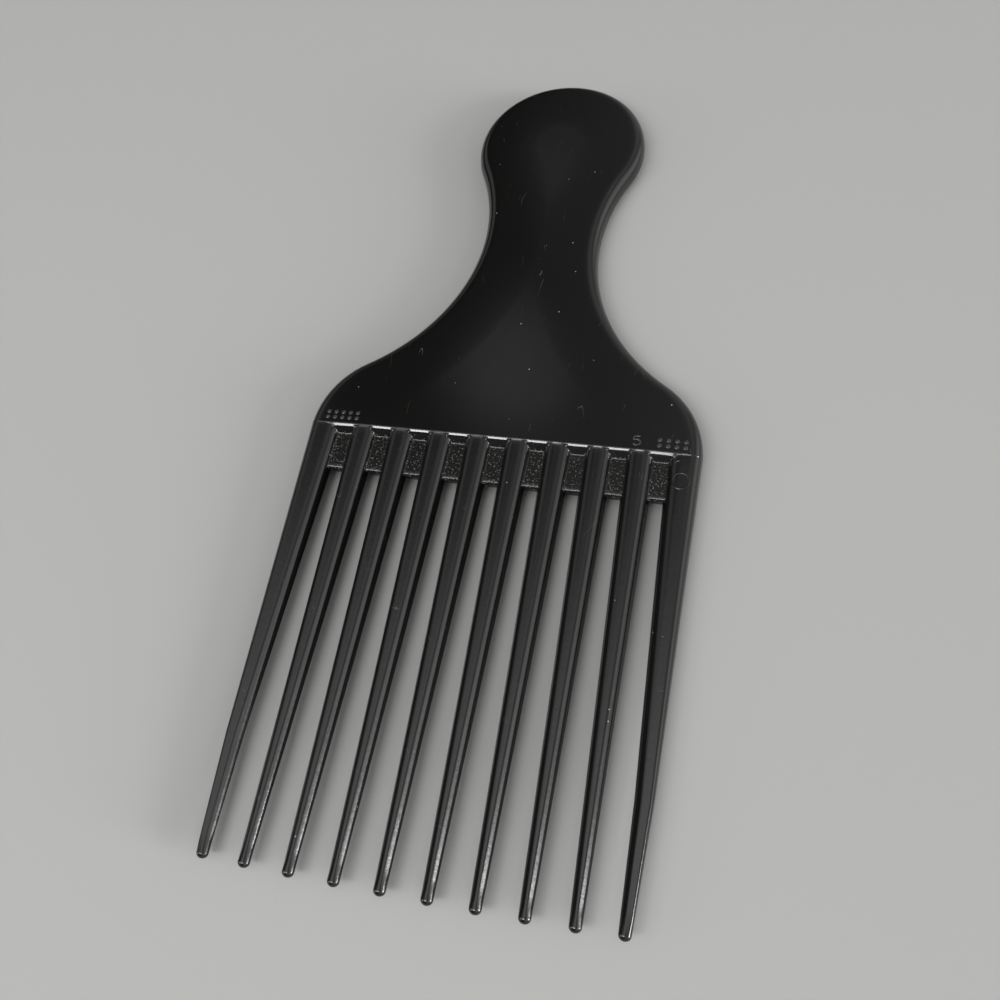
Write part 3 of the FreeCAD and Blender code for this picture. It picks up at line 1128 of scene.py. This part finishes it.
class Value:
    """A number in a shader, which builds Math nodes when it is used in an expression."""

    def __init__(self, graph: "Graph", socket: bpy.types.NodeSocket) -> None:
        """Wrap an output socket of a graph."""
        self.graph = graph
        self.socket = socket

    def math(self, operation: str, *others: "Value | float", flip: bool = False) -> "Value":
        """Add a Math node.

        Args:
            operation: Blender's name of the operation.
            others: The other operands.
            flip: Whether the first other operand comes before this one.

        Returns:
            The node's result.
        """
        operands = [self, *others]
        if flip:
            operands[0], operands[1] = operands[1], operands[0]
        inputs = dict(enumerate(operands))
        return self.graph.node("ShaderNodeMath", {"operation": operation}, inputs).value(0)

    def __add__(self, other: "Value | float") -> "Value":
        """Add."""
        return self.math("ADD", other)

    def __sub__(self, other: "Value | float") -> "Value":
        """Subtract."""
        return self.math("SUBTRACT", other)

    def __rsub__(self, other: float) -> "Value":
        """Subtract this from a number."""
        return self.math("SUBTRACT", other, flip=True)

    def __mul__(self, other: "Value | float") -> "Value":
        """Multiply."""
        return self.math("MULTIPLY", other)

    __radd__ = __add__
    __rmul__ = __mul__

    def __abs__(self) -> "Value":
        """Drop the sign."""
        return self.math("ABSOLUTE")

    def band(self, low: float, high: float) -> "Value":
        """Ease from 0 at low to 1 at high, falling instead of rising where low is the larger.

        Args:
            low: Where the result is 0.
            high: Where the result is 1.

        Returns:
            The eased value.
        """
        settings = {"interpolation_type": "SMOOTHSTEP"}
        if low < high:
            inputs = {"Value": self, "From Min": low, "From Max": high}
            return self.graph.node("ShaderNodeMapRange", settings, inputs).value(0)
        inputs = {"Value": self, "From Min": high, "From Max": low, "To Min": 1.0, "To Max": 0.0}
        return self.graph.node("ShaderNodeMapRange", settings, inputs).value(0)


class Placed:
    """A node that is in a graph, with its outputs at hand."""

    def __init__(self, graph: "Graph", node: bpy.types.Node) -> None:
        """Wrap a node."""
        self.graph = graph
        self.node = node

    def value(self, output: int | str) -> Value:
        """One output as a number."""
        return Value(self.graph, self.node.outputs[output])

    def out(self, output: int | str) -> bpy.types.NodeSocket:
        """One output as a bare socket, for colours, vectors and shaders."""
        return self.node.outputs[output]


class Graph:
    """Builds the nodes of one material or world."""

    def __init__(self, tree: bpy.types.NodeTree) -> None:
        """Clear a node tree and start on it."""
        self.tree = tree
        tree.nodes.clear()

    def node(
        self,
        kind: str,
        settings: Mapping[str, object] | None = None,
        inputs: Mapping[int | str, object] | None = None,
    ) -> Placed:
        """Add a node.

        Args:
            kind: Its type.
            settings: Its own settings, such as a Math node's operation, which are set first.
            inputs: Values or links of its sockets.

        Returns:
            The node, wrapped.
        """
        made = self.tree.nodes.new(kind)
        for key, value in (settings or {}).items():
            setattr(made, key, value)
        for key, value in (inputs or {}).items():
            if isinstance(value, Value):
                self.tree.links.new(value.socket, made.inputs[key])
            elif isinstance(value, bpy.types.NodeSocket):
                self.tree.links.new(value, made.inputs[key])
            else:
                made.inputs[key].default_value = value
        return Placed(self, made)

    def stretched(self, place: bpy.types.NodeSocket, sizes: Point | float) -> bpy.types.NodeSocket:
        """Scale a position so that a texture's features have the given sizes.

        Args:
            place: The position.
            sizes: Sizes in millimetres along x, y and z, or one for all three.

        Returns:
            The scaled position.
        """
        along = (sizes,) * 3 if isinstance(sizes, float) else sizes
        scale = tuple(1 / (size * MM) for size in along)
        inputs = {0: place, 1: scale}
        return self.node("ShaderNodeVectorMath", {"operation": "MULTIPLY"}, inputs).out(0)

    def noise(self, place: bpy.types.NodeSocket, sizes: Point | float, detail: float = 2.0) -> Value:
        """Noise from 0 to 1 whose features have the given sizes in millimetres."""
        inputs = {"Vector": self.stretched(place, sizes), "Scale": 1.0, "Detail": detail}
        return self.node("ShaderNodeTexNoise", {"noise_dimensions": "3D"}, inputs).value(0)

    def mix(self, factor: Value, first: Sequence[float], second: Sequence[float]) -> bpy.types.NodeSocket:
        """Mix two colours by a factor."""
        inputs = {0: factor, 6: (*first, 1.0), 7: (*second, 1.0)}
        return self.node("ShaderNodeMix", {"data_type": "RGBA"}, inputs).out(2)


@dataclass(frozen=True)
class Plastic:
    """Black moulded plastic, with the grain, streaks, scuffs and dust of a used tool, and painted highlight
    glints where the pits are on.

    Sizes are in millimetres. Strengths are from 0 to 1, and bump is the height of the relief.
    """

    name: str
    middle: float
    colour: Point = (0.0032, 0.0032, 0.003)
    # Pale colour of the real dust specks, and of the painted glints on the pits.
    dust_and_glint_colour: Point = (0.3, 0.295, 0.28)
    ior: float = 1.57
    roughness: float = 0.15
    haze: float = 0.035
    haze_size: float = 14.0
    grain_size: float = 0.3
    grain_bump: float = 0.0015
    streak_strength: float = 0.0
    streak_size: Point = (0.16, 12.0, 0.16)
    streak_relief: float = 4.0
    wave_size: float = 9.0
    wave_bump: float = 0.0
    pit_size: float = 0.34
    pit_range: Spot = (0.6, 0.7)
    pit_bump: float = 0.0
    # Strength of the painted glints, a painted highlight that the pits add to the colour.
    pit_glint: float = 0.42
    pit_limit: float = 1.3
    pit_fade: float = 0.1
    marks_rough: float = 0.35
    marks_bump: float = 0.008
    scuff_size: float = 7.0
    scuff_strength: float = 0.2
    scuff_stretch: Point = (0.5, 1.6, 1.0)
    scuff_width: float = 0.0035
    gate_share: float = 0.45
    gate_range: Spot = (0.6, 0.68)
    dust_cell: float = 1.7
    dust_radius: float = 0.1
    dust_share: float = 0.2
    dust_step: float = 0.02
    dust_soft: float = 0.5

    def build(self) -> bpy.types.Material:
        """Make the material.

        Returns:
            The material, whose varying inputs are Base Color, Roughness and Normal.
        """
        material = bpy.data.materials.new(self.name)
        material.use_nodes = True
        graph = Graph(material.node_tree)
        place = graph.node("ShaderNodeTexCoord").out("Object")
        grain = graph.noise(place, self.grain_size, detail=3.0)
        haze = graph.noise(place, self.haze_size)
        waves = graph.noise(place, self.wave_size)
        marks = self.dust(graph, place) + self.scuffs(graph, place)
        pits = self.pits(graph, place) if self.pit_bump else None
        if pits:
            # The pits paint pale glints into the colour: a painted highlight, beside the real dust and
            # scuffs.
            marks = marks + pits * self.pit_glint
        marks = marks.math("MINIMUM", 1.0)
        colour = graph.mix(marks, self.colour, self.dust_and_glint_colour)
        rough = self.roughness + (haze - 0.5) * (2 * self.haze) + marks * self.marks_rough
        relief = grain * self.grain_bump + waves * self.wave_bump + marks * self.marks_bump
        if self.streak_strength:
            streaks = graph.noise(place, self.streak_size, detail=3.0)
            rough = rough + (streaks - 0.5) * self.streak_strength
            relief = relief + streaks * (self.streak_strength * self.grain_bump * self.streak_relief)
        if pits:
            relief = relief + pits * self.pit_bump
        bump = graph.node("ShaderNodeBump", None, {"Strength": 1.0, "Distance": MM, "Height": relief})
        inputs = {"Base Color": colour, "Roughness": rough, "Normal": bump.out(0), "IOR": self.ior}
        shader = graph.node("ShaderNodeBsdfPrincipled", None, inputs)
        graph.node("ShaderNodeOutputMaterial", None, {"Surface": shader.out(0)})
        return material

    def pits(self, graph: Graph, place: bpy.types.NodeSocket) -> Value:
        """Scatter the coarse relief of a spark-eroded mould, only near mid-thickness. The same mask paints
        pale glints into the colour, a painted highlight.

        Args:
            graph: The material's nodes.
            place: The position on the piece.

        Returns:
            The mask.
        """
        through = graph.node("ShaderNodeSeparateXYZ", None, {0: place}).value(2)
        outer, inner = (self.pit_limit + self.pit_fade) * MM, (self.pit_limit - self.pit_fade) * MM
        near = abs(through - self.middle).band(outer, inner)
        return graph.noise(place, self.pit_size, detail=1.0).band(*self.pit_range) * near

    def dust(self, graph: Graph, place: bpy.types.NodeSocket) -> Value:
        """Scatter small specks, one in some of the cells.

        Args:
            graph: The material's nodes.
            place: The position on the piece.

        Returns:
            The mask.
        """
        inputs = {"Vector": graph.stretched(place, self.dust_cell), "Scale": 1.0}
        cells = graph.node("ShaderNodeTexVoronoi", {"voronoi_dimensions": "3D"}, inputs)
        parts = graph.node("ShaderNodeSeparateColor", None, {0: cells.out("Color")})
        chosen = parts.value(0).band(1 - self.dust_share, 1 - self.dust_share + self.dust_step)
        radius = self.dust_radius / self.dust_cell
        speck = (cells.value("Distance") - parts.value(1) * radius).band(radius * self.dust_soft, 0.0)
        return chosen * speck

    def scuffs(self, graph: Graph, place: bpy.types.NodeSocket) -> Value:
        """Draw short broken scuffs, where a drawn-out noise crosses its middle value.

        Args:
            graph: The material's nodes.
            place: The position on the piece.

        Returns:
            A faint mask.
        """
        stretched = tuple(self.scuff_size * share for share in self.scuff_stretch)
        slow = graph.noise(place, stretched, detail=0.0)
        gate = graph.noise(place, self.scuff_size * self.gate_share, detail=1.0).band(*self.gate_range)
        return abs(slow - 0.5).band(self.scuff_width, 0.0) * gate * self.scuff_strength


@dataclass(frozen=True)
class Lamp:
    """A soft panel, placed by its direction and distance from the middle of the pick.

    Its roll about that direction is in degrees.
    """

    name: str
    toward: Point
    distance: float
    width: float
    height: float
    radiance: float
    roll: float = 0.0

    def build(self) -> bpy.types.Object:
        """Make the lamp, facing the pick.

        Returns:
            The lamp, linked to the scene.
        """
        data = bpy.data.lights.new(self.name, "AREA")
        data.shape = "RECTANGLE"
        data.size = self.width
        data.size_y = self.height
        data.energy = self.radiance * math.pi * self.width * self.height
        lamp = bpy.data.objects.new(self.name, data)
        direction = Vector(self.toward).normalized()
        lamp.location = direction * self.distance
        turn = direction.to_track_quat("Z", "Y") @ Quaternion((0.0, 0.0, 1.0), math.radians(self.roll))
        lamp.rotation_euler = turn.to_euler()
        bpy.context.scene.collection.objects.link(lamp)
        return lamp


@dataclass(frozen=True)
class Patch:
    """A faint soft spot of the world's light, round a direction."""

    toward: Point
    reach: float
    level: float

    def glow(self, graph: Graph, direction: bpy.types.NodeSocket) -> Value:
        """Its light in each direction.

        Args:
            graph: The world's nodes.
            direction: The direction looked in, 1 long.

        Returns:
            The light, which fades out over reach, in radians.
        """
        inputs = {0: direction, 1: tuple(Vector(self.toward).normalized())}
        cosine = graph.node("ShaderNodeVectorMath", {"operation": "DOT_PRODUCT"}, inputs).value(1)
        return cosine.band(math.cos(self.reach), 1.0) * self.level


@dataclass
class Studio:
    """Pale floor, soft lamps, a soft ceiling and the camera.

    Ceiling values are heights and depths of directions, which are 1 long, where the light fades.
    """

    datum: Datum
    floor_size: float = 6.0
    floor_colour: Point = (0.38, 0.38, 0.37)
    floor_roughness: float = 0.9
    floor_cells: int = 8
    floor_drop: float = 0.00003
    dim: float = 0.035
    slant: float = 0.5
    slant_fade: Spot = (-0.3, 0.3)
    slant_end: Spot = (0.65, 0.4)
    left_glow: float = 0.4
    left_fade: Spot = (-0.42, -0.6)
    ceiling: float = 1.25
    ceiling_low: Spot = (0.2, 0.45)
    ceiling_near: Spot = (-0.65, -0.35)
    ceiling_far: Spot = (0.48, 0.0)
    ceiling_left: Spot = (-0.7, -0.45)
    ceiling_right: Spot = (0.25, 0.0)
    side_glow: float = 1.2
    side_fade: Spot = (0.45, 0.9)
    backdrop: float = 0.42
    camera_spot: Point = (41.661, -86.236, 160.270)
    camera_turn: Point = (26.515, 8.742, 10.830)
    focal_pixels: float = 1010.117
    frame_pixels: float = 1000.0
    sensor: float = 36.0
    clip_start: float = 0.005
    lamps: tuple[Lamp, ...] = (
        Lamp("rear_panel", (-0.226, -0.531, 0.817), 0.9, 0.5, 0.09, 21.0, 18.0),
        Lamp("right_panel", (0.95, -0.175, 0.22), 2.4, 0.78, 0.78, 26.0),
        Lamp("left_lamp", (-0.62, -0.42, 0.66), 0.9, 0.12, 0.12, 15.0),
    )
    patches: tuple[Patch, ...] = (
        Patch((-0.22, 0.528, 0.82), 0.078, 0.58),
        Patch((-0.19, 0.68, 0.705), 0.055, 0.3),
        Patch((0.61, -0.56, 0.54), 0.17, 4.0),
        Patch((-0.887, -0.358, 0.267), 0.2, 5.0),
    )

    def floor(self) -> bpy.types.Object:
        """Make the floor, a hair under the pick.

        Returns:
            The floor, marked as staging.
        """
        shape = bmesh.new()
        cells = self.floor_cells
        bmesh.ops.create_grid(shape, x_segments=cells, y_segments=cells, size=self.floor_size / 2)
        mesh = bpy.data.meshes.new("floor")
        shape.to_mesh(mesh)
        shape.free()
        material = bpy.data.materials.new("floor_matt")
        material.use_nodes = True
        graph = Graph(material.node_tree)
        inputs = {"Base Color": (*self.floor_colour, 1.0), "Roughness": self.floor_roughness}
        shader = graph.node("ShaderNodeBsdfPrincipled", None, inputs)
        graph.node("ShaderNodeOutputMaterial", None, {"Surface": shader.out(0)})
        mesh.materials.append(material)
        floor = bpy.data.objects.new("floor", mesh)
        floor.location.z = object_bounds()[0].z - self.floor_drop
        bpy.context.scene.collection.objects.link(floor)
        floor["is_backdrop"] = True
        return floor

    def world(self) -> None:
        """Set a dim world with a soft ceiling and glows round the pick, plain and pale behind the floor."""
        world = bpy.data.worlds.new("studio_world")
        bpy.context.scene.world = world
        world.use_nodes = True
        graph = Graph(world.node_tree)
        direction = graph.node("ShaderNodeTexCoord").out("Generated")
        parts = graph.node("ShaderNodeSeparateXYZ", None, {0: direction})
        across, depth, height = parts.value(0), parts.value(1), parts.value(2)
        ceiling = height.band(*self.ceiling_low) * depth.band(*self.ceiling_far)
        ceiling = ceiling * depth.band(*self.ceiling_near) * self.ceiling
        ceiling = ceiling * across.band(*self.ceiling_left) * across.band(*self.ceiling_right)
        sides = across.band(*self.left_fade) * height.band(*self.ceiling_low) * self.left_glow
        sides = sides + across.band(*self.side_fade) * self.side_glow
        slant = across.band(*self.slant_fade) * across.band(*self.slant_end) * self.slant
        level = ceiling + sides + slant + self.dim
        for patch in self.patches:
            level = level + patch.glow(graph, direction)
        seen = graph.node("ShaderNodeLightPath").value("Is Camera Ray")
        level = level * (1 - seen) + seen * self.backdrop
        shader = graph.node("ShaderNodeBackground", None, {"Color": (1, 1, 1, 1), "Strength": level})
        graph.node("ShaderNodeOutputWorld", None, {"Surface": shader.out(0)})

    def camera(self) -> bpy.types.Object:
        """Set the camera at the photograph's place, turn and focal length.

        Returns:
            The camera, in use by the scene.
        """
        data = bpy.data.cameras.new("camera")
        data.sensor_width = self.sensor
        data.lens = self.focal_pixels / self.frame_pixels * self.sensor
        data.clip_start = self.clip_start
        camera = bpy.data.objects.new("camera", data)
        camera.location = self.datum.place(self.camera_spot)
        camera.rotation_euler = Euler([math.radians(turn) for turn in self.camera_turn], "XYZ")
        bpy.context.scene.collection.objects.link(camera)
        bpy.context.scene.camera = camera
        return camera

    def build(self) -> None:
        """Set up everything round the pick."""
        self.floor()
        self.world()
        self.camera()
        for lamp in self.lamps:
            lamp.build()
        bpy.context.scene.view_settings.view_transform = "Standard"


@dataclass
class Pick:
    """The whole moulding: handle, teeth, webs and marks."""

    sizes: PickSizes
    datum: Datum

    def build(self) -> list[bpy.types.Object]:
        """Make every piece.

        Returns:
            The pieces.
        """
        middle = self.datum.middle
        smooth = Plastic("plastic_handle", middle, wave_size=11.0, wave_bump=0.012).build()
        drawn = Plastic(
            "plastic_teeth", middle, roughness=0.2, streak_strength=0.14, wave_size=0.9, wave_bump=0.014,
            grain_size=0.4, grain_bump=0.006, scuff_size=5.0, dust_share=0.12,
        ).build()
        # The web's pits paint pale glints into its colour, a painted highlight.
        rough = Plastic(
            "plastic_web", middle, colour=(0.0075, 0.0075, 0.007), roughness=0.155, pit_bump=0.06,
            dust_cell=0.75, dust_radius=0.08, dust_share=0.2,
        ).build()
        worn = Plastic("plastic_marks", middle, colour=(0.03, 0.03, 0.0285), roughness=0.22).build()
        handle = Handle(self.sizes, self.datum)
        numbers = range(1, self.sizes.tooth_count + 1)
        teeth = [Tooth(self.sizes, self.datum, number, handle.crown(number)) for number in numbers]
        pieces = [handle.build(smooth)]
        pieces += [tooth.build(drawn) for tooth in teeth]
        pieces += [Web(handle, left, right).build(rough) for left, right in zip(teeth, teeth[1:])]
        marks = MouldMarks(handle, teeth[-1])
        pieces += [marks.ejector(drawn), marks.digit(worn), marks.pips(worn)]
        return pieces


def main() -> None:
    """Build the pick and its studio, and note how many pieces there are."""
    logging.basicConfig(level=logging.INFO, format="%(message)s")
    random.seed(SEED)
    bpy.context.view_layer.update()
    datum = Datum.from_frame()
    Studio(datum).build()
    pieces = Pick(PickSizes(), datum).build()
    log.info("%d pieces", len(pieces))


if __name__ == "__main__":
    main()
